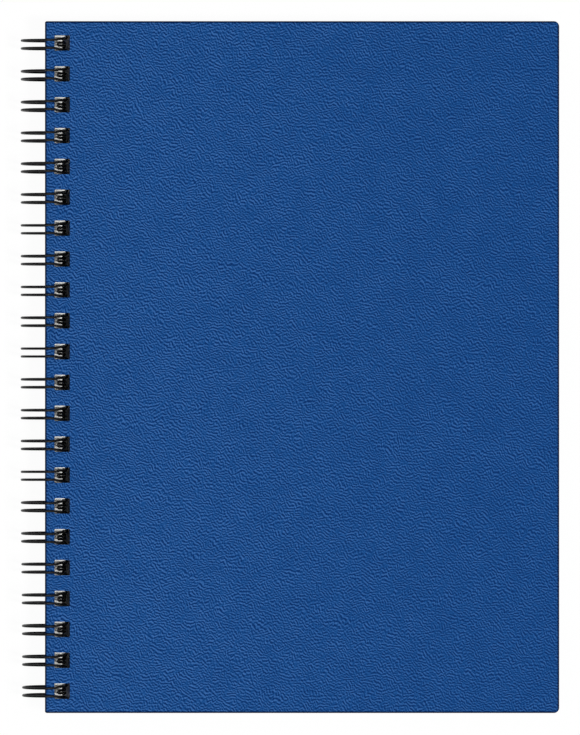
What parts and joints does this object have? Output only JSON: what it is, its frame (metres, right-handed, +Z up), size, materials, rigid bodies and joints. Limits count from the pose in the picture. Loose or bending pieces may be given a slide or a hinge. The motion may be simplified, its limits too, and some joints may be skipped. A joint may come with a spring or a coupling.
{
  "type": "spiral planner",
  "caption": "Wire-bound planner: rigid leatherette covers and a block of leaves hang on a twin-loop wire through square holes, and each cover swings open about the wire.",
  "frame": {"origin": "under the middle of the closed planner's outline, level with the lowest point of the wire", "axes": "+X from the wire to the fore-edge, +Y from tail to head, +Z up out of the front cover"},
  "size_m": [0.2218, 0.2848, 0.019],
  "materials": {
    "leatherette": "satin",
    "greyboard": "matte",
    "endpaper": "matte",
    "leaves": "matte",
    "wire": "gloss"
  },
  "bodies": {
    "leaves_and_wire": {"page_block": "leaves", "binding_wire": "wire"},
    "front_cover": {"front_cover_board": "greyboard", "front_cover_wrap": "leatherette", "front_cover_lining": "endpaper"},
    "back_cover": {"back_cover_board": "greyboard", "back_cover_wrap": "leatherette", "back_cover_lining": "endpaper"}
  },
  "joints": [
    {"name": "front_cover_swing", "type": "hinge", "parent": "leaves_and_wire", "child": "front_cover", "pos_m": [-0.10141, 0, 0.00952], "axis": [0, -1, 0], "range_deg": [0, 180]},
    {"name": "back_cover_swing", "type": "hinge", "parent": "leaves_and_wire", "child": "back_cover", "pos_m": [-0.10141, 0, 0.00952], "axis": [0, 1, 0], "range_deg": [0, 180]}
  ]
}
